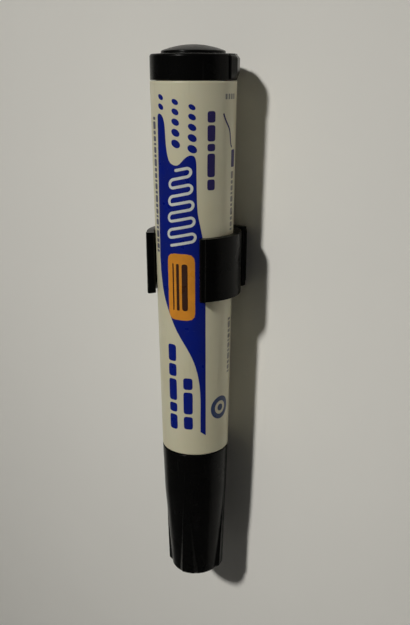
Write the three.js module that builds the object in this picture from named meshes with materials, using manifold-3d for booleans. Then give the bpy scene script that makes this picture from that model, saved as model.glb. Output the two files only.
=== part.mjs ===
// A dry-wipe felt tip marker held upright, cap down, in a C-shaped spring clip with a foam pad behind.
// Millimetres, +Z up. The origin is on the marker's axis at the closed end of the cap. The clip's mouth
// faces -Y and the wall it is fixed to is towards +Y. Directions round the axis are degrees from +X.
import * as THREE from "three";
import { ConvexGeometry } from "three/addons/geometries/ConvexGeometry.js";
import { mergeVertices } from "three/addons/utils/BufferGeometryUtils.js";
import Module from "manifold-3d";

const wasm = await Module();
wasm.setup();

// ---- driving dimensions -----------------------------------------------------------------------
const SEGMENTS = 48; // facets round a full circle
const CLEAR = 0.05; // radial clearance of pieces that are pressed together

const CAP_LENGTH = 36.95;
const CAP_RIM_R = 8.4;
const BARREL_Z0 = 37.2; // front rim, just above the cap's rim
const BARREL_Z1 = 124.2; // rear rim
const FRONT_R = 8.4; // barrel radius at the front rim
const REAR_R = 9.5; // barrel radius at the rear rim

const FRONT_SEAT_R = 7.3; // barrel bore where the nib holder is pressed in
const REAR_SEAT_R = 8.4; // barrel bore where the end plug is pressed in
const FRONT_SEAT_Z = BARREL_Z0 + 14.8;
const REAR_SEAT_Z = BARREL_Z1 - 11.2;
const CENTRING_RIBS = 6;

const COLLAR_Z0 = BARREL_Z1 + 0.1;
const COLLAR_Z1 = 129.5;
const COLLAR_R = 9.45;
const DOME_R = 7.0;
const DOME_STEP = 0.6;
const DOME_RISE = 1.3;
const LUG_ANGLE = 24;
const LUG_R = 9.9; // axis to the flat outer face
const LUG_FACE_WIDTH = 3.6;
const LUG_FACE_Z0 = COLLAR_Z0 + 1.6;
const LUG_FACE_Z1 = COLLAR_Z1 - 0.85;
const LUG_SIDE_R = 9.85; // where the flanks end, at a short side wall
const LUG_HALF_ANGLE = 25;
const LUG_EDGE = 0.2; // the lug's sides stay this far below the collar's upper edge

const RESERVOIR_R = 6.0;
const SLEEVE_R = 6.3;
const SLEEVE_WALL = 0.2;
const RESERVOIR_Z0 = BARREL_Z0 + 4.4;
const RESERVOIR_Z1 = BARREL_Z1 - 9.0;

const NIB_R = 2.3;
const NIB_TIP_Z = 8.8;
const NIB_REAR_Z = BARREL_Z0 + 13;
const NOSE_Z = 13.4; // front face of the nib holder
const NOSE_R = 3.0;
const NECK_R = 7.4; // cylinder that the cap's rim grips
const NECK_Z0 = 29.6;
const SEAL_R = 5.4; // cylinder that the cap's inner seal grips
const SEAL_Z0 = 20.0;

const CAP_BORE_R = 7.55;
const CAP_FLOOR = 2.0;
const CORE_END_R = 6.45; // cap core radius at the closed end
const CORE_TOP_R = 8.05; // cap core radius where the ridges begin
const CORE_TOP_Z = 24.0;
const CORE_ROUND = 0.8;
const RIDGES = 4;
const RIDGE_ANGLE = 17;
const RIDGE_END_R = 7.3;
const RIDGE_Z0 = 0.4;
const RIDGE_TOP_WIDTH = 1.4; // crest width where the ridge comes out of the core
const RIDGE_END_WIDTH = 3.3; // crest width at the closed end
const RIDGE_FLANK = 0.8; // sideways run of the flanks for each millimetre of depth
const RIDGE_FOOT_RISE = 0.8; // height of the sloping foot
const RIDGE_FOOT_INSET = 0.6;
const LINER_R = 6.2;
const LINER_Z0 = 19.2;

const CLIP_Z0 = 77.35;
const CLIP_HEIGHT = 14.35;
const CLIP_R = 9.4;
const CLIP_WALL = 1.65;
const MOUTH_HALF_ANGLE = 41; // each free end's direction, from the middle of the mouth
const CLIP_BEAD = 0.3; // how far the bead along each free end stands proud
const CLIP_BEAD_LENGTH = 1.1;
const PLATE_HALF_WIDTH = 7.35;
const PLATE_Y0 = 9.75;
const PLATE_Y1 = 11.55;
const PAD_THICKNESS = 1.0;
const PAD_INSET = 0.4;

// ---- helpers ----------------------------------------------------------------------------------
const radians = THREE.MathUtils.degToRad;

// A closed geometry as a solid, ready to be joined or cut.
function solid(geometry) {
  const bare = geometry.clone();
  bare.deleteAttribute("normal");
  bare.deleteAttribute("uv");
  const merged = mergeVertices(bare, 1e-4);
  const vertProperties = new Float32Array(merged.attributes.position.array);
  const triVerts = new Uint32Array(merged.index.array);
  return new wasm.Manifold(new wasm.Mesh({ numProp: 3, vertProperties, triVerts }));
}

const join = (solids) => solids.reduce((sum, next) => sum.add(next));

// A solid of revolution about Z. The profile is [radius, z] pairs from the bottom up the outside.
function turned(profile, segments = SEGMENTS) {
  const points = profile.map(([r, z]) => new THREE.Vector2(r, z));
  return solid(new THREE.LatheGeometry(points, segments).rotateX(Math.PI / 2));
}

// A ring of revolution: up the outer wall, down the inner wall, and back to the start.
const turnedRing = (outer, inner) => turned([...outer, ...inner.toReversed(), outer[0]]);

function turnedRod(radius, z0, z1, segments = SEGMENTS) {
  return turned([[0, z0], [radius, z0], [radius, z1], [0, z1]], segments);
}

function boxGeometry(x0, x1, y0, y1, z0, z1) {
  const geometry = new THREE.BoxGeometry(x1 - x0, y1 - y0, z1 - z0);
  return geometry.translate((x0 + x1) / 2, (y0 + y1) / 2, (z0 + z1) / 2);
}

// Copies of a geometry spread evenly round the axis.
function spread(geometry, count, firstAngle = 0) {
  return Array.from({ length: count }, (_, i) =>
    solid(geometry.clone().rotateZ(radians(firstAngle + (360 / count) * i))),
  );
}

// [radius, z] pairs along a circular arc.
function arc(centreR, centreZ, radius, fromDegrees, toDegrees, steps) {
  return Array.from({ length: steps + 1 }, (_, i) => {
    const angle = radians(fromDegrees + ((toDegrees - fromDegrees) * i) / steps);
    return [centreR + radius * Math.cos(angle), centreZ + radius * Math.sin(angle)];
  });
}

// ---- barrel: tapered tube with cylindrical seats at both ends and ribs that centre the reservoir ----
function makeBarrel() {
  const round = 0.35;
  const outer = [
    [FRONT_R - round, BARREL_Z0],
    [FRONT_R, BARREL_Z0 + round],
    [REAR_R, BARREL_Z1 - round],
    [REAR_R - round, BARREL_Z1],
  ];
  const inner = [
    [FRONT_SEAT_R, BARREL_Z0],
    [FRONT_SEAT_R, FRONT_SEAT_Z],
    [REAR_SEAT_R - 0.1, REAR_SEAT_Z],
    [REAR_SEAT_R, REAR_SEAT_Z],
    [REAR_SEAT_R, BARREL_Z1],
  ];
  const ribWidth = 0.9;
  const ribInnerR = SLEEVE_R + 0.15;
  const ribOuterR = REAR_SEAT_R + 0.05; // buried in the wall along its whole length
  const ribZ0 = FRONT_SEAT_Z + 2;
  const ribZ1 = REAR_SEAT_Z - 1;
  const rib = boxGeometry(ribInnerR, ribOuterR, -ribWidth / 2, ribWidth / 2, ribZ0, ribZ1);
  return join([turnedRing(outer, inner), ...spread(rib, CENTRING_RIBS)]);
}

// ---- end plug: collar, domed disc, lug, and a hollow skirt with two beads that grip the bore -------
function makeEndPlug() {
  const edge = 0.5;
  const skirtR = REAR_SEAT_R - 0.2;
  const skirtZ = COLLAR_Z0 - 9.6;
  const skirtWall = 1.2;
  const floorZ = COLLAR_Z0 + 1.2;
  const beadR = REAR_SEAT_R - 0.03;
  const beadHalfHeight = 0.5;
  const bead = (z) => [
    [skirtR, z - beadHalfHeight],
    [beadR, z],
    [skirtR, z + beadHalfHeight],
  ];
  const domeZ = COLLAR_Z1 + DOME_STEP;
  const domeSteps = 6;
  const dome = Array.from({ length: domeSteps + 1 }, (_, i) => {
    const share = 1 - i / domeSteps;
    return [DOME_R * share, domeZ + DOME_RISE * (1 - share ** 2)];
  });
  const body = turned([
    [0, floorZ],
    [skirtR - skirtWall, floorZ],
    [skirtR - skirtWall, skirtZ],
    [skirtR - 0.4, skirtZ],
    [skirtR, skirtZ + 0.8],
    ...bead(COLLAR_Z0 - 6),
    ...bead(COLLAR_Z0 - 2.5),
    [skirtR, COLLAR_Z0],
    [COLLAR_R, COLLAR_Z0],
    ...arc(COLLAR_R - edge, COLLAR_Z1 - edge, edge, 0, 90, 3),
    [DOME_R, COLLAR_Z1],
    ...dome,
  ]);
  return join([body, makeLug()]);
}

// The lug that stops the marker rolling: short side walls, flanks and a flat outer face.
function makeLug() {
  const side = radians(LUG_HALF_ANGLE);
  const rootR = COLLAR_R - 0.8; // buried in the collar
  const rootInset = 0.05;
  const sideInset = 0.3;
  const section = (r, halfWidth, z0, z1) =>
    [-1, 1].flatMap((turn) => [
      new THREE.Vector3(r, turn * halfWidth, z0),
      new THREE.Vector3(r, turn * halfWidth, z1),
    ]);
  const atSide = (r, inset) =>
    section(r * Math.cos(side), r * Math.sin(side), COLLAR_Z0 + inset, COLLAR_Z1 - LUG_EDGE - inset);
  const corners = [
    ...atSide(rootR, rootInset),
    ...atSide(COLLAR_R, rootInset),
    ...atSide(LUG_SIDE_R, sideInset),
    ...section(LUG_R, LUG_FACE_WIDTH / 2, LUG_FACE_Z0, LUG_FACE_Z1),
  ];
  return solid(new ConvexGeometry(corners).rotateZ(radians(LUG_ANGLE)));
}

// ---- ink reservoir and its film sleeve -------------------------------------------------------------
function makeReservoir() {
  const rod = turnedRod(RESERVOIR_R, RESERVOIR_Z0, RESERVOIR_Z1);
  return rod.subtract(turnedRod(NIB_R + CLEAR, RESERVOIR_Z0 - 1, NIB_REAR_Z + 0.2, 24));
}

function makeSleeve() {
  const z0 = RESERVOIR_Z0 + 1;
  const z1 = RESERVOIR_Z1 - 1;
  const innerR = SLEEVE_R - SLEEVE_WALL;
  return turnedRing([[SLEEVE_R, z0], [SLEEVE_R, z1]], [[innerR, z0], [innerR, z1]]);
}

// ---- nib holder: insert, neck, sealing cylinder and nose, bored for the nib and its air grooves ------
function makeNibHolder() {
  const insertR = FRONT_SEAT_R - CLEAR;
  const insertZ = FRONT_SEAT_Z - 0.8;
  const shoulderZ = BARREL_Z0 - 0.05;
  const beadZ = BARREL_Z0 - 4.6;
  const shell = turned([
    [0, NOSE_Z],
    [NOSE_R - 0.4, NOSE_Z],
    [NOSE_R, NOSE_Z + 0.4],
    [SEAL_R - 0.5, SEAL_Z0 - 0.4],
    [SEAL_R, SEAL_Z0 + 0.6],
    [SEAL_R, NECK_Z0],
    [NECK_R - 0.5, NECK_Z0],
    [NECK_R, NECK_Z0 + 0.5],
    [NECK_R, beadZ - 0.5],
    [NECK_R + 0.1, beadZ],
    [NECK_R, beadZ + 0.5],
    [NECK_R, shoulderZ],
    [insertR, shoulderZ],
    [insertR, insertZ - 0.6],
    [insertR - 0.4, insertZ],
    [0, insertZ],
  ]);
  const socket = turnedRod(SLEEVE_R + 0.15, RESERVOIR_Z0 - 0.4, insertZ + 1);
  const bore = turnedRod(NIB_R + CLEAR, NOSE_Z - 1, insertZ, 24);
  const grooveWidth = 0.6;
  const groove = boxGeometry(0, NIB_R + 0.55, -grooveWidth / 2, grooveWidth / 2, NOSE_Z - 1, insertZ);
  return shell.subtract(join([socket, bore, ...spread(groove, 4, 45)]));
}

// ---- nib: fibre rod with a bullet tip --------------------------------------------------------------
function makeNib() {
  const bulletLength = 4.0;
  const steps = 6;
  const bullet = Array.from({ length: steps + 1 }, (_, i) => {
    const angle = ((i / steps) * Math.PI) / 2;
    return [NIB_R * Math.sin(angle), NIB_TIP_Z + bulletLength * (1 - Math.cos(angle))];
  });
  return turned([...bullet, [NIB_R, NIB_REAR_Z - 0.5], [NIB_R - 0.5, NIB_REAR_Z], [0, NIB_REAR_Z]], 24);
}

// ---- cap: tapered core with ridges that stand prouder towards the closed end -----------------------
function makeCapShell() {
  const rimRound = 0.3;
  const core = turned([
    [0, 0],
    ...arc(CORE_END_R - CORE_ROUND, CORE_ROUND, CORE_ROUND, -90, 0, 4),
    [CORE_TOP_R, CORE_TOP_Z],
    [CAP_RIM_R, CAP_LENGTH - rimRound],
    [CAP_RIM_R - rimRound, CAP_LENGTH],
    [0, CAP_LENGTH],
  ]);
  const cavityR = 5.0;
  const linerSeatR = LINER_R + CLEAR;
  const hollow = turned([
    [0, CAP_FLOOR],
    [cavityR - 0.6, CAP_FLOOR],
    [cavityR, CAP_FLOOR + 0.6],
    [cavityR, LINER_Z0 - 0.1],
    [linerSeatR, LINER_Z0 - 0.1],
    [linerSeatR, NECK_Z0 - 0.3],
    [CAP_BORE_R, NECK_Z0 - 0.3],
    [CAP_BORE_R, CAP_LENGTH + 1],
    [0, CAP_LENGTH + 1],
  ]);
  return join([core, ...spread(ridgeGeometry(), RIDGES, RIDGE_ANGLE)]).subtract(hollow);
}

// One ridge along +X: its crest lies on the cap's outer taper, its flanks run down into the core, and
// its foot slopes.
function ridgeGeometry() {
  const rootR = CORE_END_R - 0.6;
  const crestSteps = 4;
  const section = (z, crestR, crestWidth) => {
    const halfTurn = Math.asin(crestWidth / 2 / crestR);
    const crest = Array.from({ length: crestSteps + 1 }, (_, i) => {
      const turn = halfTurn * ((2 * i) / crestSteps - 1);
      return new THREE.Vector3(crestR * Math.cos(turn), crestR * Math.sin(turn), z);
    });
    const rootHalfWidth = crestWidth / 2 + RIDGE_FLANK * (crestR * Math.cos(halfTurn) - rootR);
    const roots = [-1, 1].map((side) => new THREE.Vector3(rootR, side * rootHalfWidth, z));
    return [...crest, ...roots];
  };
  return new ConvexGeometry([
    ...section(CORE_TOP_Z - 0.5, CORE_TOP_R - CLEAR, RIDGE_TOP_WIDTH),
    ...section(RIDGE_Z0 + RIDGE_FOOT_RISE, RIDGE_END_R, RIDGE_END_WIDTH),
    ...section(RIDGE_Z0, RIDGE_END_R - RIDGE_FOOT_INSET, RIDGE_END_WIDTH),
  ]);
}

function makeCapSeal() {
  const gripR = SEAL_R + CLEAR;
  const top = NECK_Z0 - 0.4;
  return turnedRing(
    [[LINER_R, LINER_Z0], [LINER_R, top]],
    [[gripR, LINER_Z0], [gripR, top - 1], [gripR + 0.35, top]],
  );
}

// ---- clip: C-shaped spring arms, with a bead along each free end, on a flat back plate --------------
function makeClipBody() {
  const outerR = CLIP_R + CLIP_WALL;
  const beadR = outerR + CLIP_BEAD;
  const endRound = 0.4;
  const first = -90 + MOUTH_HALF_ANGLE;
  const last = 270 - MOUTH_HALF_ANGLE;
  const steps = Math.round((SEGMENTS * (last - first)) / 360);
  const turnOf = (length) => THREE.MathUtils.radToDeg(length / outerR);
  const trim = turnOf(endRound);
  const beadTurn = turnOf(CLIP_BEAD_LENGTH);
  const beadFoot = turnOf(CLIP_BEAD_LENGTH + CLIP_BEAD);
  const at = (r, degrees) => {
    const angle = radians(degrees);
    return new THREE.Vector2(r * Math.cos(angle), r * Math.sin(angle));
  };
  const along = (r, from, to) =>
    Array.from({ length: steps + 1 }, (_, i) => at(r, from + ((to - from) * i) / steps));
  const outline = [
    ...along(outerR, first + beadFoot, last - beadFoot),
    at(beadR, last - beadTurn),
    at(beadR, last - trim),
    at(beadR - endRound, last),
    at(CLIP_R + endRound, last),
    ...along(CLIP_R, last - trim, first + trim),
    at(CLIP_R + endRound, first),
    at(beadR - endRound, first),
    at(beadR, first + trim),
    at(beadR, first + beadTurn),
  ];
  const upright = { depth: CLIP_HEIGHT, bevelEnabled: false };
  const arms = new THREE.ExtrudeGeometry(new THREE.Shape(outline), upright);
  const plate = boxGeometry(
    -PLATE_HALF_WIDTH,
    PLATE_HALF_WIDTH,
    PLATE_Y0,
    PLATE_Y1,
    CLIP_Z0,
    CLIP_Z0 + CLIP_HEIGHT,
  );
  return join([solid(arms.translate(0, 0, CLIP_Z0)), solid(plate)]);
}

function makePad() {
  const halfWidth = PLATE_HALF_WIDTH - PAD_INSET;
  const backY = PLATE_Y1 + PAD_THICKNESS;
  const z0 = CLIP_Z0 + PAD_INSET;
  const z1 = CLIP_Z0 + CLIP_HEIGHT - PAD_INSET;
  return solid(boxGeometry(-halfWidth, halfWidth, PLATE_Y1, backY, z0, z1));
}

// ---- materials -------------------------------------------------------------------------------------
const plastic = (color, roughness) => new THREE.MeshStandardMaterial({ color, roughness, metalness: 0 });
const offWhite = plastic(0xdedacb, 0.35);
const blackGloss = plastic(0x0e0e10, 0.28);
const blackSatin = plastic(0x141517, 0.42);
const sealWhite = plastic(0xd2d4d2, 0.5);
const nibFibre = plastic(0x0b0b0d, 0.9);
const inkFibre = plastic(0x1b1b20, 0.95);
const film = plastic(0xd7dde0, 0.2);
const foam = plastic(0x2b2b2c, 0.95);

// ---- assembly --------------------------------------------------------------------------------------
const part = new THREE.Group();
part.name = "felt_tip_marker";

function addPiece(name, shape, material) {
  const { vertProperties, triVerts } = shape.getMesh();
  const geometry = new THREE.BufferGeometry();
  geometry.setAttribute("position", new THREE.BufferAttribute(new Float32Array(vertProperties), 3));
  geometry.setIndex(new THREE.BufferAttribute(new Uint32Array(triVerts), 1));
  geometry.computeVertexNormals();
  const mesh = new THREE.Mesh(geometry, material);
  mesh.name = name;
  part.add(mesh);
}

addPiece("barrel", makeBarrel(), offWhite);
addPiece("end_plug", makeEndPlug(), blackSatin);
addPiece("nib_holder", makeNibHolder(), offWhite);
addPiece("nib", makeNib(), nibFibre);
addPiece("ink_reservoir", makeReservoir(), inkFibre);
addPiece("reservoir_sleeve", makeSleeve(), film);
addPiece("cap_shell", makeCapShell(), blackGloss);
addPiece("cap_inner_seal", makeCapSeal(), sealWhite);
addPiece("clip_body", makeClipBody(), blackSatin);
addPiece("clip_adhesive_pad", makePad(), foam);

export default part;
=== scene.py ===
"""A dry-wipe felt tip marker hanging cap down in a spring clip on a plain wall.

Lengths are millimetres until build() turns them into metres. Directions round the marker's axis are
degrees from -Y, the middle of the clip's mouth, turning towards +X.
"""
import math

import bmesh
import bpy
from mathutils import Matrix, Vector


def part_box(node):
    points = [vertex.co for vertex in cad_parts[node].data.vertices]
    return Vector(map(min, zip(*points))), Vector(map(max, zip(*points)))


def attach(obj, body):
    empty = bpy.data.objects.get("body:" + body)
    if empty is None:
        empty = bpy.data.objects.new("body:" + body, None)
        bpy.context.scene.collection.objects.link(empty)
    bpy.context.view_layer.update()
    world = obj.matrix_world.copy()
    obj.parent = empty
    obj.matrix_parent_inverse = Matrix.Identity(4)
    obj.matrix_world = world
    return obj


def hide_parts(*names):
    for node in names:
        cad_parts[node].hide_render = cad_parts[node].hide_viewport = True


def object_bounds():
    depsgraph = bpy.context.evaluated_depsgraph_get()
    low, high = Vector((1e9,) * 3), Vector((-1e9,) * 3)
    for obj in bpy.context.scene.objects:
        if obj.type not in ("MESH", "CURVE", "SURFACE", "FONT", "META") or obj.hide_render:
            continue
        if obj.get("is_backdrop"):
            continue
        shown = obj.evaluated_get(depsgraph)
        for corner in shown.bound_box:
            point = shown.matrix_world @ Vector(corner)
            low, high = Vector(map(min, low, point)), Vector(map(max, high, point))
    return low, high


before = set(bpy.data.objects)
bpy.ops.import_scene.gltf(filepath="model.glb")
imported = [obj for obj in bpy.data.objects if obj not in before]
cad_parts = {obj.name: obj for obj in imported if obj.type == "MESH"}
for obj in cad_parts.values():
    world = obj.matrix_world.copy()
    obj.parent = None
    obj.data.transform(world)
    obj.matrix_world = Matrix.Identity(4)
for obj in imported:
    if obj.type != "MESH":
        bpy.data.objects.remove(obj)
cad_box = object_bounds()

MM = 0.001


# ---- places and sizes from the frame ------------------------------------------------------------
def bottom(node):
    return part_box(node)[0].z / MM


def top(node):
    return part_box(node)[1].z / MM


def half_width(node):
    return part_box(node)[1].x / MM


CAP_TOP = top("cap_shell")
CAP_RIM_R = half_width("cap_shell")
BARREL_Z0 = bottom("barrel")
BARREL_Z1 = top("barrel")
FRONT_R = CAP_RIM_R
REAR_R = half_width("barrel")
BARREL_WALL = 1.1
COLLAR_Z0 = BARREL_Z1 + 0.1
PLUG_TOP = top("end_plug")
PLUG_BOTTOM = bottom("end_plug")
COLLAR_R = REAR_R - 0.05
CLIP_Z0 = bottom("clip_body")
CLIP_Z1 = top("clip_body")
CLIP_OUTER_R = half_width("clip_body")
CLIP_WALL = 1.65
CLIP_INNER_R = CLIP_OUTER_R - CLIP_WALL
PLATE_BACK_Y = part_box("clip_body")[1].y / MM
WALL_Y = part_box("clip_adhesive_pad")[1].y / MM
PAD_HALF_WIDTH = half_width("clip_adhesive_pad")
HOLDER_Z0 = bottom("nib_holder")
HOLDER_Z1 = top("nib_holder")
NECK_R = half_width("nib_holder") - 0.1
NIB_R = half_width("nib")
SEAL_Z0 = bottom("cap_inner_seal")
SEAL_Z1 = top("cap_inner_seal")
SEAL_R = half_width("cap_inner_seal")


def barrel_radius(z):
    return FRONT_R + (REAR_R - FRONT_R) * (z - BARREL_Z0) / (BARREL_Z1 - BARREL_Z0)


# ---- mesh helpers ----------------------------------------------------------------------------------
def around(angle, radius, z):
    """A point at a direction, radius and height."""
    a = math.radians(angle)
    return (radius * math.sin(a), -radius * math.cos(a), z)


def build(name, points, faces, material, body, replaced=None, crease=38):
    """One closed smooth-shaded piece, in place and riding on its body."""
    bm = bmesh.new()
    verts = [bm.verts.new(Vector(p) * MM) for p in points]
    for face in faces:
        bm.faces.new([verts[i] for i in face])
    bmesh.ops.remove_doubles(bm, verts=bm.verts, dist=1e-7)
    bmesh.ops.recalc_face_normals(bm, faces=bm.faces)
    if not all(edge.is_manifold for edge in bm.edges):
        raise ValueError(f"{name} isn't closed")
    mesh = bpy.data.meshes.new(name)
    bm.to_mesh(mesh)
    bm.free()
    mesh.shade_smooth()
    mesh.set_sharp_from_angle(angle=math.radians(crease))
    mesh.materials.append(material)
    piece = bpy.data.objects.new(name, mesh)
    bpy.context.scene.collection.objects.link(piece)
    weighted = piece.modifiers.new("even_shading", "WEIGHTED_NORMAL")
    weighted.keep_sharp = True
    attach(piece, body)
    if replaced:
        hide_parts(replaced)
    return piece


def revolve(angles, profile):
    """Points and faces of a surface whose closed (radius, z) profile may change with the angle."""
    columns = [profile(angle) for angle in angles]
    count = len(columns[0])
    points = [around(a, r, z) for a, column in zip(angles, columns) for r, z in column]
    faces = []
    for i in range(len(angles)):
        here = i * count
        there = (i + 1) % len(angles) * count
        for j in range(count):
            k = (j + 1) % count
            faces.append((here + j, there + j, there + k, here + k))
    return points, drop_flat(points, faces)


def drop_flat(points, faces):
    """Faces without repeated corners, so that a face touching the axis becomes a triangle."""
    kept = []
    first = {}
    for face in faces:
        corners = []
        for i in face:
            i = first.setdefault(tuple(round(c, 6) for c in points[i]), i)
            if i not in corners:
                corners.append(i)
        if len(corners) > 2:
            kept.append(corners)
    return kept


def even_angles(count=192):
    return [360 * i / count for i in range(count)]


def crowded_angles(centres, reach, fine, coarse):
    """Directions that are close together near each centre and further apart elsewhere."""
    angles = set()
    for i in range(round(360 / coarse)):
        angle = i * coarse
        if all(abs(turn_between(angle, c)) > reach for c in centres):
            angles.add(round(angle, 4))
    for centre in centres:
        steps = round(reach / fine)
        angles.update(round((centre + i * fine) % 360, 4) for i in range(-steps, steps + 1))
    return sorted(angles)


def turn_between(a, b):
    """The turn from direction b to direction a, between -180 and 180."""
    return (a - b + 180) % 360 - 180


def rounded(corners, closed=True, steps=5):
    """(x, y) points of a path whose (x, y, radius) corners are rounded off."""
    path = []
    count = len(corners)
    for i, (x, y, radius) in enumerate(corners):
        here = Vector((x, y))
        if radius == 0 or (not closed and i in (0, count - 1)):
            path.append((x, y))
            continue
        before = Vector(corners[i - 1][:2]) - here
        after = Vector(corners[(i + 1) % count][:2]) - here
        cut = min(radius, before.length * 0.45, after.length * 0.45)
        start = here + before.normalized() * cut
        end = here + after.normalized() * cut
        for step in range(steps + 1):
            t = step / steps
            point = start * (1 - t) ** 2 + here * 2 * t * (1 - t) + end * t**2
            path.append((point.x, point.y))
    return path


def soft_max(a, b, blend):
    """The larger of two radii, with a fillet where they meet."""
    h = min(1, max(0, 0.5 + 0.5 * (a - b) / blend))
    return b + (a - b) * h + blend * h * (1 - h)


def chord_radius(turn, corners):
    """Radius at an angle on straight lines between (angle, radius) corners; 0 beyond the last."""
    for (a, r), (b, q) in zip(corners, corners[1:]):
        if a <= turn <= b:
            before = math.sin(math.radians(turn - a))
            after = math.sin(math.radians(b - turn))
            if before + after == 0:
                return r
            return r * q * math.sin(math.radians(b - a)) / (q * after + r * before)
    return 0


def ramp(value, start, end):
    return min(1, max(0, (value - start) / (end - start)))


# ---- materials --------------------------------------------------------------------------------------
class Finish:
    """A Principled material and short ways to add nodes to it."""

    def __init__(self, name, roughness, specular=0.5):
        self.material = bpy.data.materials.new(name)
        self.material.use_nodes = True
        self.tree = self.material.node_tree
        self.shader = self.tree.nodes["Principled BSDF"]
        self.shader.inputs["Specular IOR Level"].default_value = specular
        self.shader.inputs["Roughness"].default_value = roughness
        self.coords = self.tree.nodes.new("ShaderNodeTexCoord").outputs["Object"]

    def link(self, source, target):
        self.tree.links.new(source, target)

    def stretched(self, x, y, z):
        node = self.tree.nodes.new("ShaderNodeMapping")
        node.inputs["Scale"].default_value = (x, y, z)
        self.link(self.coords, node.inputs["Vector"])
        return node.outputs["Vector"]

    def noise(self, scale, detail=3, where=None):
        node = self.tree.nodes.new("ShaderNodeTexNoise")
        node.inputs["Scale"].default_value = scale
        node.inputs["Detail"].default_value = detail
        self.link(where or self.coords, node.inputs["Vector"])
        return node.outputs["Fac"]

    def cells(self, scale):
        node = self.tree.nodes.new("ShaderNodeTexVoronoi")
        node.inputs["Scale"].default_value = scale
        self.link(self.coords, node.inputs["Vector"])
        return node.outputs["Distance"]

    def span(self, value, low, high, to_low, to_high):
        node = self.tree.nodes.new("ShaderNodeMapRange")
        limits = {"From Min": low, "From Max": high, "To Min": to_low, "To Max": to_high}
        for key, number in limits.items():
            node.inputs[key].default_value = number
        self.link(value, node.inputs["Value"])
        return node.outputs["Result"]

    def mix(self, factor, a, b):
        node = self.tree.nodes.new("ShaderNodeMix")
        node.data_type = "RGBA"
        self.link(factor, node.inputs["Factor"])
        for socket, colour in ((node.inputs["A"], a), (node.inputs["B"], b)):
            if isinstance(colour, tuple):
                socket.default_value = (*colour, 1)
            else:
                self.link(colour, socket)
        return node.outputs["Result"]

    def pointiness(self):
        return self.tree.nodes.new("ShaderNodeNewGeometry").outputs["Pointiness"]

    def colour(self, source):
        self.link(source, self.shader.inputs["Base Color"])

    def roughness(self, source):
        self.link(source, self.shader.inputs["Roughness"])

    def bump(self, *layers):
        """Each layer is (height, depth in millimetres)."""
        normal = None
        for height, depth in layers:
            node = self.tree.nodes.new("ShaderNodeBump")
            node.inputs["Distance"].default_value = depth * MM
            self.link(height, node.inputs["Height"])
            if normal:
                self.link(normal, node.inputs["Normal"])
            normal = node.outputs["Normal"]
        self.link(normal, self.shader.inputs["Normal"])


def scratches(finish, scale):
    """Thin lengthwise handling marks, 0 to 1."""
    streaks = finish.noise(scale, 2, finish.stretched(1, 1, 0.06))
    return finish.span(streaks, 0.66, 0.7, 0, 1)


def white_plastic(name, colour, warm):
    """Moulded off-white plastic: faint yellowing, orange peel and handling marks."""
    finish = Finish(name, 0.36)
    patches = finish.span(finish.noise(60), 0.35, 0.7, 0, 1)
    marks = scratches(finish, 1500)
    tone = finish.mix(patches, colour, warm)
    dull = tuple(c * 0.9 for c in warm)
    finish.colour(finish.mix(finish.span(marks, 0, 1, 0, 0.35), tone, dull))
    finish.roughness(finish.span(finish.noise(240), 0.3, 0.7, 0.3, 0.42))
    finish.bump((finish.noise(900), 0.006), (marks, 0.003))
    finish.shader.inputs["Subsurface Weight"].default_value = 0.04
    finish.shader.inputs["Subsurface Scale"].default_value = 0.6 * MM
    return finish.material


def black_plastic(name, colour, smooth, rough, grain, specular):
    """Moulded black plastic: fine spark grain, rubbed edges, handling marks and a little dust."""
    finish = Finish(name, smooth, specular)
    marks = scratches(finish, 1100)
    dust = finish.span(finish.noise(2600, 2), 0.64, 0.74, 0, 0.12)
    worn = finish.span(finish.pointiness(), 0.53, 0.62, 0, 0.5)
    rubbed = tuple(c * 2.2 + 0.006 for c in colour)
    dusty = (0.03, 0.029, 0.026)
    tone = finish.mix(worn, colour, rubbed)
    tone = finish.mix(finish.span(marks, 0, 1, 0, 0.3), tone, rubbed)
    finish.colour(finish.mix(dust, tone, dusty))
    finish.roughness(finish.span(finish.noise(180), 0.3, 0.7, smooth, rough))
    finish.bump((finish.noise(grain, 4), 0.008), (marks, 0.004))
    return finish.material


def fibre(name, colour, tip):
    """Bonded fibre: fine lengthwise strands."""
    finish = Finish(name, 0.95, 0.2)
    strands = finish.noise(5200, 3, finish.stretched(1, 1, 0.12))
    finish.colour(finish.mix(finish.span(strands, 0.35, 0.7, 0, 1), colour, tip))
    finish.bump((strands, 0.05), (finish.noise(2600), 0.03))
    finish.shader.inputs["Sheen Weight"].default_value = 0.3
    return finish.material


def clear_film():
    finish = Finish("clear_film", 0.2)
    creases = finish.noise(320, 3, finish.stretched(1, 1, 0.3))
    finish.colour(finish.mix(finish.span(creases, 0.3, 0.7, 0, 1), (0.66, 0.7, 0.72), (0.8, 0.83, 0.84)))
    finish.roughness(finish.span(creases, 0.3, 0.7, 0.12, 0.3))
    finish.bump((creases, 0.03))
    return finish.material


def foam_tape():
    """Closed-cell foam: small open pores on a dark ground."""
    finish = Finish("foam_tape", 0.95, 0.2)
    pores = finish.cells(3200)
    ground = finish.span(pores, 0, 0.6, 0, 1)
    finish.colour(finish.mix(ground, (0.05, 0.05, 0.049), (0.014, 0.014, 0.014)))
    finish.bump((pores, 0.08), (finish.noise(700), 0.04))
    return finish.material


def ink(name, colour):
    """Printed ink: slightly uneven cover, with pinholes that let the plastic show through."""
    finish = Finish(name, 0.3, 0.3)
    thin = tuple(c * 0.85 + 0.004 for c in colour)
    cover = finish.mix(finish.span(finish.noise(420, 4), 0.35, 0.7, 0, 1), colour, thin)
    pinholes = finish.span(finish.noise(5200, 2), 0.76, 0.8, 0, 0.7)
    finish.colour(finish.mix(pinholes, cover, BARREL_COLOUR))
    finish.roughness(finish.span(finish.noise(300), 0.3, 0.7, 0.26, 0.4))
    finish.bump((finish.noise(1600), 0.003))
    return finish.material


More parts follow.
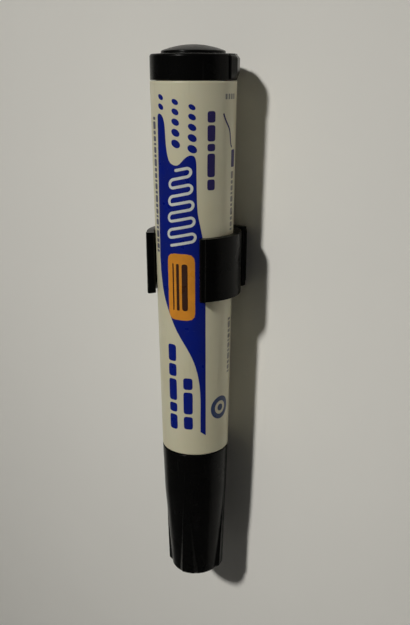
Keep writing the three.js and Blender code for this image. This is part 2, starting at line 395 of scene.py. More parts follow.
BARREL_COLOUR = (0.7, 0.665, 0.5)
barrel_white = white_plastic("barrel_white", BARREL_COLOUR, (0.66, 0.615, 0.43))
holder_white = white_plastic("holder_white", (0.78, 0.78, 0.72), (0.74, 0.73, 0.65))
seal_white = white_plastic("seal_white", (0.62, 0.63, 0.6), (0.56, 0.56, 0.52))
cap_black = black_plastic("cap_black", (0.003, 0.003, 0.003), 0.2, 0.3, 1900, 0.1)
plug_black = black_plastic("plug_black", (0.003, 0.003, 0.003), 0.22, 0.32, 2300, 0.09)
clip_black = black_plastic("clip_black", (0.002, 0.002, 0.002), 0.24, 0.36, 1700, 0.08)
nib_fibre = fibre("nib_fibre", (0.006, 0.006, 0.008), (0.03, 0.03, 0.034))
reservoir_fibre = fibre("reservoir_fibre", (0.014, 0.014, 0.018), (0.05, 0.05, 0.056))
blue_ink = ink("blue_ink", (0.002, 0.012, 0.22))
navy_ink = ink("navy_ink", (0.03, 0.022, 0.13))
white_ink = ink("white_ink", (0.72, 0.74, 0.7))
orange_ink = ink("orange_ink", (0.78, 0.3, 0.03))
dark_ink = ink("dark_ink", (0.05, 0.02, 0.012))
grey_ink = ink("grey_ink", (0.26, 0.25, 0.23))
slate_ink = ink("slate_ink", (0.03, 0.055, 0.16))
faded_ink = ink("faded_ink", (0.1, 0.1, 0.15))


# ---- barrel -----------------------------------------------------------------------------------------
def make_barrel():
    """Tapered tube with rounded rims; six ribs inside centre the reservoir."""
    front_seat_r = FRONT_R - BARREL_WALL
    rear_seat_r = REAR_R - BARREL_WALL
    front_seat_z = BARREL_Z0 + 14.8
    rear_seat_z = BARREL_Z1 - 11.2
    rib_inner_r = half_width("reservoir_sleeve") + 0.15
    rib_half_turn = math.degrees(0.45 / rib_inner_r)
    rounding = 0.35
    outer = rounded(
        [
            (front_seat_r, BARREL_Z0, 0.2),
            (FRONT_R, BARREL_Z0, rounding),
            (REAR_R, BARREL_Z1, rounding),
            (rear_seat_r, BARREL_Z1, 0.2),
        ],
    )
    bore_from_rear = [
        (rear_seat_r, rear_seat_z),
        (rear_seat_r - 0.1, rear_seat_z),
        (rear_seat_r - 0.12, rear_seat_z - 1),
        (rear_seat_r - 0.12, rear_seat_z - 1.05),
        (front_seat_r + 0.04, front_seat_z + 2.05),
        (front_seat_r + 0.04, front_seat_z + 2),
        (front_seat_r, front_seat_z),
    ]
    rib_rows = (3, 4)

    def profile(angle):
        turn = abs(turn_between(angle * 6 % 360, 0)) / 6
        on_rib = turn < rib_half_turn
        bore = [
            (rib_inner_r if on_rib and row in rib_rows else r, z)
            for row, (r, z) in enumerate(bore_from_rear)
        ]
        return outer + bore

    centres = [60 * i for i in range(6)]
    angles = crowded_angles(centres, 6, 0.75, 1.5)
    points, faces = revolve(angles, profile)
    build("barrel_tube", points, faces, barrel_white, "marker", "barrel")


# ---- end plug ---------------------------------------------------------------------------------------
LUG_DIRECTION = 114


def make_end_plug():
    """Collar with a domed disc and one anti-roll lug; the hollow skirt grips the barrel."""
    dome_r = 7.0
    dome_step = 0.6
    dome_rise = 1.3
    disc_share = 0.92  # of the dome's radius, where its rounded edge ends
    collar_top = PLUG_TOP - dome_step - dome_rise
    collar_height = collar_top - COLLAR_Z0
    lug_face_r = COLLAR_R + 0.45
    lug_face_half_width = 1.8
    lug_face_z0 = COLLAR_Z0 + 1.6
    lug_face_z1 = collar_top - 0.85
    lug_side_r = COLLAR_R + 0.4
    lug_half_angle = 25
    bevel = 0.55
    skirt_r = REAR_R - BARREL_WALL - 0.2
    skirt_inner_r = skirt_r - 1.2
    skirt = rounded(
        [
            (0, COLLAR_Z0 + 1.2, 0),
            (skirt_inner_r, COLLAR_Z0 + 1.2, 0.4),
            (skirt_inner_r, PLUG_BOTTOM, 0.2),
            (skirt_r - 0.3, PLUG_BOTTOM, 0.2),
            (skirt_r, PLUG_BOTTOM + 0.8, 0.2),
            (skirt_r, COLLAR_Z0 - 6.6, 0.1),
            (skirt_r + 0.16, COLLAR_Z0 - 6, 0.2),
            (skirt_r, COLLAR_Z0 - 5.4, 0.1),
            (skirt_r, COLLAR_Z0 - 3.1, 0.1),
            (skirt_r + 0.16, COLLAR_Z0 - 2.5, 0.2),
            (skirt_r, COLLAR_Z0 - 1.9, 0.1),
            (skirt_r, COLLAR_Z0, 0),
        ],
        closed=False,
    )
    collar_steps = 24
    collar = [(COLLAR_R - 0.12, COLLAR_Z0)]
    collar += [(COLLAR_R, COLLAR_Z0 + 0.12 + (collar_height - 0.12 - bevel) * i / collar_steps)
               for i in range(collar_steps + 1)]
    for i in range(1, 7):
        a = math.radians(15 * i)
        collar.append((COLLAR_R - bevel * (1 - math.cos(a)), collar_top - bevel * (1 - math.sin(a))))
    disc = rounded(
        [
            (COLLAR_R - bevel - 0.3, collar_top, 0),
            (dome_r, collar_top, 0.15),
            (dome_r, collar_top + dome_step, 0.3),
            (dome_r * disc_share, PLUG_TOP - dome_rise * disc_share**2, 0),
        ],
        closed=False,
    )
    rings = 14
    shares = [disc_share * (1 - i / rings) for i in range(1, rings + 1)]
    dome = [(dome_r * share, PLUG_TOP - dome_rise * share**2) for share in shares]

    def profile(angle):
        turn = abs(turn_between(angle, LUG_DIRECTION))
        outline = []
        for r, z in collar:
            rise = min(ramp(z, COLLAR_Z0 + 0.1, lug_face_z0), ramp(z, collar_top - 0.2, lug_face_z1))
            face_r = COLLAR_R - 0.15 + (lug_face_r - COLLAR_R + 0.15) * rise
            side = COLLAR_R - 0.05 + (lug_side_r - COLLAR_R + 0.05) * min(1, rise * 5)
            corner = math.degrees(math.atan2(lug_face_half_width, face_r))
            corner_r = math.hypot(lug_face_half_width, face_r)
            flank = [(lug_half_angle, side), (lug_half_angle + 0.6, r - 0.3)]
            lug = chord_radius(turn, [(0, face_r), (corner, corner_r), *flank])
            outline.append((soft_max(r, lug, 0.06) if lug > r - 0.06 else r, z))
        return skirt + outline + disc + dome

    points, faces = revolve(crowded_angles([LUG_DIRECTION], 30, 0.3, 1.5), profile)
    name = "end_plug_moulding"
    build(name, points, faces, plug_black, "marker", "end_plug", 30)


# ---- cap --------------------------------------------------------------------------------------------
RIDGE_DIRECTIONS = (17, 107, 197, 287)


def make_cap():
    """Tapered cap; four ridges leave the core below the rim and stand proudest at the closed end."""
    core_end_r = 6.45
    core_top_r = 8.05
    core_top_z = 24.0
    end_round = 0.8
    ridge_end_r = 7.3
    ridge_foot_z = 0.4
    ridge_foot_height = 0.8
    ridge_top_width = 1.4
    ridge_end_width = 3.3
    ridge_flank = 0.8  # sideways run for each millimetre of depth
    bore_r = 7.55
    cavity_r = 5.0
    floor = 2.0
    rim_round = 0.3
    liner_seat_r = SEAL_R + 0.05

    def core_radius(z):
        if z < end_round:
            return core_end_r - end_round + math.sqrt(end_round**2 - (end_round - z) ** 2)
        if z < core_top_z:
            return core_end_r + (core_top_r - core_end_r) * (z - end_round) / (core_top_z - end_round)
        return core_top_r + (CAP_RIM_R - core_top_r) * (z - core_top_z) / (CAP_TOP - core_top_z)

    def ridge_radius(turn, z):
        share = ramp(z, core_top_z, ridge_foot_z)
        foot = ramp(z, ridge_foot_z, ridge_foot_z + ridge_foot_height)
        slope = 0.8 * (1 - math.sin(foot * math.pi / 2))
        crest = core_top_r + (ridge_end_r - core_top_r) * share - slope
        half_width = (ridge_top_width + (ridge_end_width - ridge_top_width) * share) / 2
        edge = math.degrees(math.asin(half_width / crest))
        if abs(turn) <= edge:
            return crest
        root_r = core_end_r - 0.9
        root_half_width = half_width + ridge_flank * (crest * math.cos(math.radians(edge)) - root_r)
        root = (math.degrees(math.atan2(root_half_width, root_r)), math.hypot(root_half_width, root_r))
        return chord_radius(abs(turn), [(edge, crest), root])

    # Rows of points: round the closed end, up the ridges' feet, along the ridges, and on to the rim.
    heights = [end_round * (1 - math.cos(math.radians(11.25 * i))) for i in range(9)]
    heights += [end_round + 0.1 * i for i in range(1, 9)]
    heights += [1.75 + 0.75 * i for i in range(31)]
    heights += [25.5 + 1.5 * i for i in range(8)]
    inside = rounded(
        [
            (CAP_RIM_R, CAP_TOP - rim_round, 0),
            (CAP_RIM_R, CAP_TOP, rim_round),
            (bore_r + 0.2, CAP_TOP, 0.15),
            (bore_r, CAP_TOP - 0.8, 0.2),
            (bore_r, SEAL_Z1 + 0.1, 0.2),
            (liner_seat_r, SEAL_Z1 + 0.1, 0.2),
            (liner_seat_r, SEAL_Z0 - 0.1, 0.1),
            (cavity_r, SEAL_Z0 - 0.1, 0.2),
            (cavity_r, floor, 0.8),
            (0, floor, 0),
        ],
        closed=False,
    )

    def profile(angle):
        turn = min((turn_between(angle, d) for d in RIDGE_DIRECTIONS), key=abs)
        outer = [(0, 0), (core_end_r * 0.5, 0)]
        for z in heights:
            core = core_radius(z)
            ridge = ridge_radius(turn, z) if ridge_foot_z < z < core_top_z else 0
            outer.append((soft_max(core, ridge, 0.16) if ridge > core - 0.16 else core, z))
        return outer + inside[1:]

    points, faces = revolve(crowded_angles(RIDGE_DIRECTIONS, 34, 0.5, 2), profile)
    build("cap_moulding", points, faces, cap_black, "cap", "cap_shell", 30)


def make_cap_seal():
    """Soft sleeve in the cap, with a lead-in lip that closes round the nib holder."""
    grip_r = SEAL_R - 0.75
    profile = rounded(
        [
            (SEAL_R, SEAL_Z0, 0.15),
            (SEAL_R, SEAL_Z1, 0.15),
            (grip_r + 0.35, SEAL_Z1, 0.1),
            (grip_r, SEAL_Z1 - 1, 0.4),
            (grip_r + 0.1, SEAL_Z1 - 3, 0.4),
            (grip_r, SEAL_Z1 - 5, 0.4),
            (grip_r, SEAL_Z0, 0.15),
        ],
    )
    points, faces = revolve(even_angles(144), lambda angle: profile)
    build("cap_seal_sleeve", points, faces, seal_white, "cap", "cap_inner_seal")


# ---- front section ----------------------------------------------------------------------------------
def make_nib_holder():
    """Insert, neck with a snap bead, sealing cylinder and nose, with air slots beside the nib."""
    insert_r = FRONT_R - BARREL_WALL - 0.05
    shoulder = BARREL_Z0 - 0.05
    neck_z = SEAL_Z1 + 0.4
    bead_z = BARREL_Z0 - 4.6
    seal_r = SEAL_R - 0.8
    nose_r = 3.0
    seal_start = 20.0
    socket_z = bottom("ink_reservoir") - 0.4
    socket_r = half_width("reservoir_sleeve") + 0.15
    bore_r = NIB_R + 0.05
    slot_r = bore_r + 0.5
    outside = rounded(
        [
            (bore_r + 0.2, HOLDER_Z0, 0.1),
            (nose_r, HOLDER_Z0, 0.4),
            (seal_r - 0.5, seal_start - 0.4, 0.3),
            (seal_r, seal_start + 0.6, 0.3),
            (seal_r, neck_z, 0.15),
            (NECK_R, neck_z, 0.5),
            (NECK_R, bead_z - 0.6, 0.1),
            (NECK_R + 0.1, bead_z, 0.3),
            (NECK_R, bead_z + 0.6, 0.1),
            (NECK_R, shoulder, 0.15),
            (insert_r, shoulder, 0.05),
            (insert_r, HOLDER_Z1, 0.5),
            (socket_r, HOLDER_Z1, 0.2),
            (socket_r, socket_z, 0.2),
        ],
    )
    bore = [(bore_r, socket_z), (bore_r, HOLDER_Z0 + 0.2)]

    def profile(angle):
        turn = abs(turn_between(angle * 4 % 360, 180)) / 4
        return outside + [(slot_r if turn < 7 else r, z) for r, z in bore]

    centres = [45, 135, 225, 315]
    points, faces = revolve(crowded_angles(centres, 9, 1, 2.25), profile)
    build("front_section", points, faces, holder_white, "marker", "nib_holder")


def make_nib():
    """Bullet-tipped fibre rod, worn a little blunt."""
    tip = bottom("nib")
    end = top("nib")
    length = 4.0
    steps = 16
    bullet = [(0, tip + 0.05)]
    for i in range(1, steps + 1):
        a = math.radians(90 * i / steps)
        bullet.append((NIB_R * math.sin(a), tip + length * (1 - math.cos(a)) + 0.05 * math.cos(a)))
    body = rounded([(*bullet[-1], 0), (NIB_R, end, 0.5), (0, end, 0)], closed=False)
    points, faces = revolve(even_angles(96), lambda angle: bullet + body[1:])
    build("nib_rod", points, faces, nib_fibre, "marker", "nib")


# ---- clip -------------------------------------------------------------------------------------------
MOUTH_HALF_ANGLE = 41


def make_clip():
    """C-shaped arms running into a flat back plate, with every edge softened."""
    plate_half_width = PAD_HALF_WIDTH + 0.4
    plate_front_y = PLATE_BACK_Y - 1.8
    join_x = math.sqrt(CLIP_OUTER_R**2 - plate_front_y**2)
    join_angle = math.degrees(math.atan2(join_x, -plate_front_y))
    arm_end = join_angle - 8  # where the arm's round outside stops short of the plate's corner

    def flat(angle, radius):
        return around(angle, radius, 0)[:2]

    def sweep(radius, start, end, step=3):
        count = max(2, round(abs(end - start) / step))
        return [flat(start + (end - start) * i / count, radius) for i in range(count + 1)]

    lip_length = 1.1
    lip_rise = 0.3
    lip_turn = math.degrees(lip_length / CLIP_OUTER_R)
    lip_r = CLIP_OUTER_R + lip_rise
    after_lip = MOUTH_HALF_ANGLE + lip_turn * 1.6
    tip = [
        (*flat(after_lip, CLIP_INNER_R), 0),
        (*flat(MOUTH_HALF_ANGLE, CLIP_INNER_R), 0.5),
        (*flat(MOUTH_HALF_ANGLE, lip_r), 0.5),
        (*flat(MOUTH_HALF_ANGLE + lip_turn, lip_r), 0.3),
        (*flat(MOUTH_HALF_ANGLE + lip_turn * 1.25, CLIP_OUTER_R), 0.15),
        (*flat(after_lip, CLIP_OUTER_R), 0),
    ]
    plate = [
        (*flat(arm_end, CLIP_OUTER_R), 0),
        (join_x, plate_front_y, 0.6),
        (plate_half_width, plate_front_y, 0.35),
        (plate_half_width, PLATE_BACK_Y, 0.35),
        (0, PLATE_BACK_Y, 0),
    ]
    right = rounded(tip, closed=False)
    right += sweep(CLIP_OUTER_R, after_lip, arm_end)[1:-1]
    right += rounded(plate, closed=False)
    left = [(-x, y) for x, y in reversed(right[:-1])]
    bore = sweep(CLIP_INNER_R, 360 - after_lip, after_lip)[1:-1]
    outline = right + left + bore
    count = len(outline)
    points = [(x, y, z) for z in (CLIP_Z0, CLIP_Z1) for x, y in outline]
    faces = [(i, (i + 1) % count, (i + 1) % count + count, i + count) for i in range(count)]
    faces += [tuple(reversed(range(count))), tuple(range(count, 2 * count))]
    piece = build("clip_moulding", points, faces, clip_black, "holder", "clip_body", 30)
    soften = piece.modifiers.new("soft_edges", "BEVEL")
    soften.width = 0.28 * MM
    soften.segments = 3
    soften.limit_method = "ANGLE"
    soften.angle_limit = math.radians(50)
    piece.modifiers.move(1, 0)


def make_pad():
    """Foam pad with rounded corners and slightly bulging sides."""
    inset_z = 0.4
    z0 = CLIP_Z0 + inset_z
    z1 = CLIP_Z1 - inset_z
    corners = [
        (-PAD_HALF_WIDTH, z0, 0.9),
        (PAD_HALF_WIDTH, z0, 0.9),
        (PAD_HALF_WIDTH, z1, 0.9),
        (-PAD_HALF_WIDTH, z1, 0.9),
    ]
    outline = rounded(corners, steps=6)
    middle_z = (z0 + z1) / 2
    layers = 8
    points = []
    for layer in range(layers + 1):
        depth = layer / layers
        shrink = 1 - 0.02 * (2 * depth - 1) ** 2
        y = PLATE_BACK_Y + (WALL_Y - PLATE_BACK_Y) * depth
        points += [(x * shrink, y, middle_z + (z - middle_z) * shrink) for x, z in outline]
    count = len(outline)
    faces = [tuple(range(count)), tuple(reversed(range(layers * count, (layers + 1) * count)))]
    for layer in range(layers):
        a = layer * count
        b = a + count
        faces += [(a + i, b + i, b + (i + 1) % count, a + (i + 1) % count) for i in range(count)]
    build("foam_pad", points, faces, foam_tape(), "holder", "clip_adhesive_pad")


# ---- print on the barrel ----------------------------------------------------------------------------
# The print is laid out flat, as (across, z): millimetres to the right of its middle, and height.
SHEET_DIRECTION = 34
SHEET_RADIUS = 9.0
DEGREES_PER_MM = math.degrees(1 / SHEET_RADIUS)
INK_THICKNESS = 0.012
INK_LIFT = 0.01  # under the first layer of ink
LAYER_GAP = 0.004  # between one layer of ink and the next


def sheet_point(across, z, lift):
    return around(SHEET_DIRECTION + across * DEGREES_PER_MM, barrel_radius(z) + lift, z)


def lay_flat(loops):
    """A flat triangulated mesh of closed (across, z) loops, cut so that it can follow the barrel."""
    bm = bmesh.new()
    for loop in loops:
        corners = [bm.verts.new((x, z, 0)) for x, z in loop]
        for i, corner in enumerate(corners):
            bm.edges.new((corners[i - 1], corner))
    bmesh.ops.triangle_fill(bm, edges=bm.edges[:], use_beauty=True)
    lows = min(x for loop in loops for x, _ in loop)
    highs = max(x for loop in loops for x, _ in loop)
    strip = 0.4
    offset = 0.013  # keeps the cuts off the shapes' own corners
    for i in range(math.ceil(lows / strip), math.floor(highs / strip) + 1):
        cut = Vector((i * strip + offset, 0, 0))
        geometry = bm.verts[:] + bm.edges[:] + bm.faces[:]
        bmesh.ops.bisect_plane(bm, geom=geometry, dist=1e-5, plane_co=cut, plane_no=Vector((1, 0, 0)))
    bmesh.ops.remove_doubles(bm, verts=bm.verts, dist=1e-4)
    bm.verts.index_update()
    return bm


def print_on(name, shapes, material, layer=0):
    """Closed shells of ink on the barrel. A shape is one loop, or an outer loop and its holes."""
    lift = INK_LIFT + layer * (INK_THICKNESS + LAYER_GAP)
    points = []
    faces = []
    for shape in shapes:
        loops = shape if isinstance(shape[0], list) else [shape]
        bm = lay_flat(loops)
        base = len(points)
        count = len(bm.verts)
        for raise_by in (lift, lift + INK_THICKNESS):
            points += [sheet_point(v.co.x, v.co.y, raise_by) for v in bm.verts]
        for face in bm.faces:
            corners = [v.index + base for v in face.verts]
            faces.append(corners)
            faces.append([i + count for i in reversed(corners)])
        for edge in bm.edges:
            if edge.is_boundary:
                a, b = (v.index + base for v in edge.verts)
                faces.append([a, b, b + count, a + count])
        bm.free()
    piece = build(name, points, faces, material, "marker", None, 60)
    piece.modifiers.clear()
    normals = []
    for vertex in piece.data.vertices:
        x, y, z = vertex.co / MM
        out = 1 if math.hypot(x, y) > barrel_radius(z) + lift + INK_THICKNESS / 2 else -1
        normals.append(Vector((x, y, 0)).normalized() * out)
    piece.data.normals_split_custom_set_from_vertices(normals)


def curve(start, pull_start, pull_end, end, steps=16):
    """Points of a cubic curve, without its end point."""
    p = [Vector(v) for v in (start, pull_start, pull_end, end)]
    path = []
    for i in range(steps):
        t = i / steps
        s = 1 - t
        point = p[0] * s**3 + p[1] * 3 * s * s * t + p[2] * 3 * s * t * t + p[3] * t**3
        path.append((point.x, point.y))
    return path


def bar(across, z, width, height, radius=0.25):
    w = width / 2
    h = height / 2
    return rounded([(across - w, z - h, radius), (across + w, z - h, radius),
                    (across + w, z + h, radius), (across - w, z + h, radius)], steps=3)


def oval(across, z, long, short, tilt, steps=28):
    """An ellipse whose long half-axis is tilted from the horizontal."""
    c, s = math.cos(math.radians(tilt)), math.sin(math.radians(tilt))
    path = []
    for i in range(steps):
        a = 2 * math.pi * i / steps
        x, y = long * math.cos(a), short * math.sin(a)
        path.append((across + x * c - y * s, z + x * s + y * c))
    return path


def stroke(path, width):
    """The outline of a pen line of even width with round ends."""
    sides = [[], []]
    half = width / 2
    for i, here in enumerate(path):
        ahead = Vector(path[min(i + 1, len(path) - 1)]) - Vector(path[max(i - 1, 0)])
        across = Vector((-ahead.y, ahead.x)).normalized() * half
        sides[0].append(tuple(Vector(here) + across))
        sides[1].append(tuple(Vector(here) - across))
    ends = []
    for here, neighbour in ((path[-1], path[-2]), (path[0], path[1])):
        out = (Vector(here) - Vector(neighbour)).normalized()
        start = math.atan2(out.y, out.x) + math.pi / 2
        ends.append([(here[0] + half * math.cos(start - math.pi * k / 8),
                      here[1] + half * math.sin(start - math.pi * k / 8)) for k in range(1, 8)])
    return sides[0] + ends[0] + sides[1][::-1] + ends[1]


def scribble(centre, z0, z1, passes, wide, narrow):
    """A pen line that goes back and forth across the sheet as it climbs, in narrowing passes."""
    gap = (z1 - z0) / (passes - 1)
    turn_steps = 16
    path = []
    for k in range(passes):
        share = k / (passes - 1)
        reach = (wide + (narrow - wide) * share) / 2 - gap / 2
        side = 1 if k % 2 == 0 else -1
        z = z0 + gap * k
        path += [(centre - side * reach * (1 - t / 3), z) for t in range(6)]
        if k < passes - 1:
            next_reach = (wide + (narrow - wide) * (k + 1) / (passes - 1)) / 2 - gap / 2
            for step in range(turn_steps + 1):
                a = math.pi * step / turn_steps
                x = reach + (next_reach - reach) * step / turn_steps + gap / 2 * math.sin(a)
                path.append((centre + side * x, z + gap / 2 * (1 - math.cos(a))))
    slant = 0.22
    kept = [path[0]]
    for point in path[1:]:
        if (Vector(point) - Vector(kept[-1])).length > 0.05:
            kept.append(point)
    return [(x, z + slant * (x - centre)) for x, z in kept]


def dashes(across, z0, z1, width, lengths, gap):
    """A column of bars standing in for a line of small print."""
    shapes = []
    z = z0
    i = 0
    while z + lengths[i % len(lengths)] <= z1:
        length = lengths[i % len(lengths)]
        shapes.append(bar(across, z + length / 2, width, length, width * 0.3))
        z += length + gap
        i += 1
    return shapes


def make_print():
    """Plain shapes in the places and colours of a marker's print; none of it is lettering."""
    panel = curve((-8.55, 116.9), (-8.5, 118.0), (-7.2, 118.0), (-6.7, 116.6))
    panel += curve((-6.7, 116.6), (-6.1, 115.0), (-6.4, 112.4), (-6.1, 110.9))
    panel += curve((-6.1, 110.9), (-5.9, 109.3), (-5.6, 108.2), (-5.1, 107.7))
    panel += curve((-5.1, 107.7), (-4.4, 107.2), (-3.6, 107.0), (-2.9, 107.6))
    panel += curve((-2.9, 107.6), (-2.0, 108.5), (-1.4, 109.4), (-0.4, 109.4))
    panel += curve((-0.4, 109.4), (0.7, 109.4), (0.65, 108.0), (0.65, 105.5))
    panel += curve((0.65, 105.5), (0.7, 102.0), (0.7, 99.0), (0.9, 97.0))
    panel += curve((0.9, 97.0), (1.3, 94.4), (2.4, 91.4), (2.7, 84.0))
    panel += [(2.9, 42.6), (1.5, 43.6), (1.5, 52.0)]
    panel += curve((1.5, 52.0), (1.3, 64.0), (-3.0, 66.0), (-5.6, 72.0))
    panel += curve((-5.6, 72.0), (-8.0, 77.0), (-9.0, 79.0), (-9.3, 87.0))
    panel += [(-9.3, 87.0)]
    print_on("print_panel", [panel], blue_ink)

    dots = [oval(-7.35, 121.0, 0.8, 0.5, -30), oval(-7.4, 119.1, 0.85, 0.54, -30)]
    for across, first in ((-3.75, 120.1), (-0.2, 119.1)):
        z = first
        for i in range(5):
            dots.append(oval(across, z, 0.78 + 0.075 * i, 0.5 + 0.066 * i, -33))
            z -= 1.95 + 0.1 * i
    print_on("print_dots", dots, blue_ink)

    print_on("print_scribble", [stroke(scribble(-2.9, 90.3, 106.4, 10, 6.6, 4.6), 0.62)], white_ink, 1)
    patch_across = -3.1
    patch_z = 80.2
    print_on("print_patch", [bar(patch_across, patch_z, 6.7, 15.6, 1.9)], orange_ink, 1)
    samples = [bar(patch_across + across, patch_z, width, 11.0, width * 0.49)
               for across, width in ((-1.9, 0.35), (-0.75, 0.7), (0.95, 1.4))]
    print_on("print_line_samples", samples, dark_ink, 2)

    print_on("print_side_line", dashes(3.85, 102.0, 119.9, 1.75, (2.3, 4.9, 1.5, 3.3), 0.5), navy_ink)
    names = dashes(-5.9, 43.9, 66.6, 2.4, (4.0, 2.4, 5.6, 3.2, 4.2), 0.7)
    names += dashes(-1.7, 44.3, 58.3, 2.4, (3.4, 5.8, 3.0), 0.7)
    print_on("print_lower_lines", names, blue_ink)
    centre = (7.3, 49.3)
    ring = [oval(*centre, 3.0, 3.0, 0, 40), oval(*centre, 1.75, 1.75, 0, 40)]
    print_on("print_ring", [ring, oval(*centre, 0.9, 0.9, 0)], slate_ink)

    small = (0.5, 1.1, 0.8, 1.6, 0.6, 1.3)
    print_on("print_small_left", dashes(-10.15, 87.6, 117.5, 1.2, small, 0.32), faded_ink)
    fine = dashes(10.5, 92.5, 105.6, 1.2, small, 0.35)
    fine += dashes(10.9, 57.6, 72.4, 1.5, small, 0.35)
    fine += [shape for k in range(4) for shape in dashes(17.5 + 1.5 * k, 52.0, 118.0, 0.5, small, 0.35)]
    print_on("print_small_right", fine, grey_ink)
    print_on("print_small_bar", [bar(10.7, 108.3, 1.7, 3.7, 0.3)], navy_ink)
    code = [bar(7.6 + 0.95 * i, 121.1, 0.6, 1.1, 0.1) for i in range(4)]
    print_on("print_code", code, grey_ink)
    line = curve((6.9, 117.6), (7.6, 115.6), (8.8, 115.2), (9.1, 113.6))
    line += curve((9.1, 113.6), (9.4, 111.8), (9.4, 111.2), (9.9, 110.8)) + [(9.9, 110.8)]
    print_on("print_pen_line", [stroke(line, 0.4)], navy_ink)


# ---- stage, light and camera ------------------------------------------------------------------------
VIEW_DIRECTION = 34
VIEW_DISTANCE = 180.8
VIEW_HEIGHT = 125.7
VIEW_SIDESTEP = 2.51
VIEW_PITCH = 22.34
LENS = 44.44
LENS_SHIFT = 0.1241
KEY_DIRECTION = -8
KEY_ELEVATION = 34
REAR_DIRECTION = 200
REAR_ELEVATION = 32
FLOOR_Z = -300


def pale(name, colour):
    """Plain paint with faint unevenness."""
    finish = Finish(name, 0.85, 0.2)
    darker = tuple(c * 0.985 for c in colour)
    finish.colour(finish.mix(finish.span(finish.noise(30), 0.3, 0.7, 0, 1), colour, darker))
    return finish


def sheet(name, corners, material):
    mesh = bpy.data.meshes.new(name)
    mesh.from_pydata([Vector(c) * MM for c in corners], [], [(0, 1, 2, 3)])
    mesh.materials.append(material)
    plane = bpy.data.objects.new(name, mesh)
    bpy.context.scene.collection.objects.link(plane)
    plane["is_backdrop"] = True


def driver_on(owner, path, expression, camera, **channels):
    """Ties a value to the camera's place: each channel is a variable name and LOC_X, LOC_Y or LOC_Z."""
    driver = owner.driver_add(path).driver
    driver.type = "SCRIPTED"
    for name, channel in channels.items():
        variable = driver.variables.new()
        variable.name = name
        variable.type = "TRANSFORMS"
        variable.targets[0].id = camera
        variable.targets[0].transform_type = channel
    driver.expression = expression


def make_camera():
    """Looks down at the marker from the right of the clip's mouth, through a shifted lens."""
    data = bpy.data.cameras.new("camera")
    data.lens = LENS
    data.clip_start = 1 * MM
    camera = bpy.data.objects.new("camera", data)
    bpy.context.scene.collection.objects.link(camera)
    bpy.context.scene.camera = camera
    a = math.radians(VIEW_DIRECTION)
    side = Vector((math.cos(a), math.sin(a), 0)) * VIEW_SIDESTEP
    place = (Vector(around(VIEW_DIRECTION, VIEW_DISTANCE, VIEW_HEIGHT)) + side) * MM
    camera.location = place
    camera.rotation_euler = (math.radians(90 - VIEW_PITCH), 0, a)
    # The lens is shifted only from this place, so a camera moved elsewhere keeps the marker centred.
    moved = f"abs(x - {place.x:.6f}) + abs(z - {place.z:.6f})"
    driver_on(data, "shift_y", f"{LENS_SHIFT} if {moved} < 0.0001 else 0", camera, x="LOC_X", z="LOC_Z")
    return camera


def make_wall(camera):
    """The wall behind the clip. It vanishes for a camera behind it, so the object can be seen."""
    paint = pale("wall_paint", (0.9, 0.885, 0.85))
    tree = paint.tree
    behind = tree.nodes.new("ShaderNodeValue")
    behind.name = "camera_is_behind"
    clear = tree.nodes.new("ShaderNodeBsdfTransparent")
    either = tree.nodes.new("ShaderNodeMixShader")
    paint.link(behind.outputs[0], either.inputs[0])
    paint.link(paint.shader.outputs[0], either.inputs[1])
    paint.link(clear.outputs[0], either.inputs[2])
    paint.link(either.outputs[0], tree.nodes["Material Output"].inputs["Surface"])
    past_wall = f"1 if y > {WALL_Y * MM:.5f} else 0"
    driver_on(behind.outputs[0], "default_value", past_wall, camera, y="LOC_Y")
    wide = 1500
    y = WALL_Y + 0.02
    corners = [(-wide, y, FLOOR_Z), (wide, y, FLOOR_Z), (wide, y, wide), (-wide, y, wide)]
    sheet("wall", corners, paint.material)


def make_floor():
    """A pale floor, lifted for the camera only, so that it casts no extra light on the object."""
    wide = 6000
    corners = [(x, y, FLOOR_Z) for x, y in ((-wide, -wide), (wide, -wide), (wide, wide), (-wide, wide))]
    paint = pale("floor_paint", (0.86, 0.855, 0.84))
    seen = paint.tree.nodes.new("ShaderNodeLightPath")
    lift = paint.tree.nodes.new("ShaderNodeMath")
    lift.operation = "MULTIPLY"
    lift.inputs[1].default_value = 0.36
    paint.link(seen.outputs["Is Camera Ray"], lift.inputs[0])
    paint.link(lift.outputs[0], paint.shader.inputs["Emission Strength"])
    paint.shader.inputs["Emission Color"].default_value = (1.0, 0.99, 0.96, 1)
    sheet("floor", corners, paint.material)


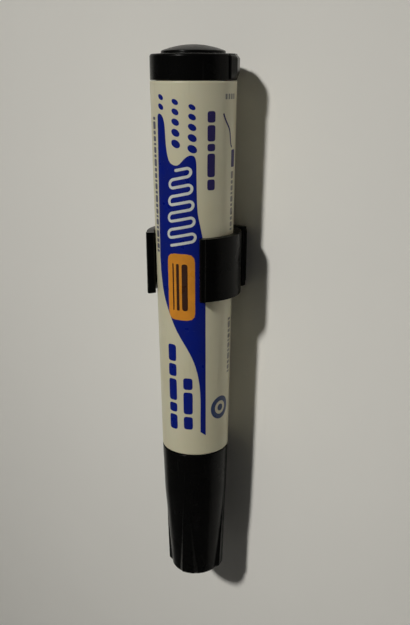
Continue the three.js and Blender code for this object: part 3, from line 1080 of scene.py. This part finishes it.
def area_light(name, direction, elevation, distance, size, power, colour, spread):
    data = bpy.data.lights.new(name, "AREA")
    data.shape = "DISK"
    data.size = size * MM
    data.spread = math.radians(spread)
    data.energy = power
    data.color = colour
    light = bpy.data.objects.new(name, data)
    bpy.context.scene.collection.objects.link(light)
    e = math.radians(elevation)
    middle = Vector((0, 0, PLUG_TOP / 2))
    out = Vector(around(direction, math.cos(e), math.sin(e)))
    light.location = (middle + out * distance) * MM
    light.rotation_euler = out.to_track_quat("Z", "Y").to_euler()
    light.visible_camera = False


def make_world():
    """Soft room light, brighter overhead. A camera that sees the room itself sees it pale."""
    world = bpy.data.worlds.new("room")
    bpy.context.scene.world = world
    world.use_nodes = True
    tree = world.node_tree
    coords = tree.nodes.new("ShaderNodeTexCoord")
    split = tree.nodes.new("ShaderNodeSeparateXYZ")
    level = tree.nodes.new("ShaderNodeMapRange")
    level.inputs["From Min"].default_value = -0.1
    level.inputs["From Max"].default_value = 0.9
    level.inputs["To Min"].default_value = 0.008
    level.inputs["To Max"].default_value = 0.07
    background = tree.nodes["Background"]
    background.inputs["Color"].default_value = (1.0, 0.99, 0.95, 1)
    seen = tree.nodes.new("ShaderNodeLightPath")
    choice = tree.nodes.new("ShaderNodeMix")
    choice.inputs["B"].default_value = 0.5
    tree.links.new(seen.outputs["Is Camera Ray"], choice.inputs["Factor"])
    tree.links.new(level.outputs["Result"], choice.inputs["A"])
    tree.links.new(coords.outputs["Generated"], split.inputs[0])
    tree.links.new(split.outputs["Z"], level.inputs["Value"])
    tree.links.new(choice.outputs["Result"], background.inputs["Strength"])


make_barrel()
make_end_plug()
make_cap()
make_cap_seal()
make_nib_holder()
make_nib()
make_clip()
make_pad()
make_print()
for node, material in (("ink_reservoir", reservoir_fibre), ("reservoir_sleeve", clear_film())):
    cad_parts[node].data.materials.clear()
    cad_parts[node].data.materials.append(material)

camera = make_camera()
make_wall(camera)
make_floor()
area_light("key", KEY_DIRECTION, KEY_ELEVATION, distance=1200, size=108, power=0.4,
           colour=(1, 0.985, 0.93), spread=40)
area_light("rear_fill", REAR_DIRECTION, REAR_ELEVATION, distance=700, size=360, power=4.5,
           colour=(1, 0.99, 0.96), spread=180)
make_world()
bpy.context.scene.view_settings.view_transform = "Standard"

boxes = {"cad": cad_box, "visual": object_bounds()}
{name: [list(corner) for corner in box] for name, box in boxes.items()}
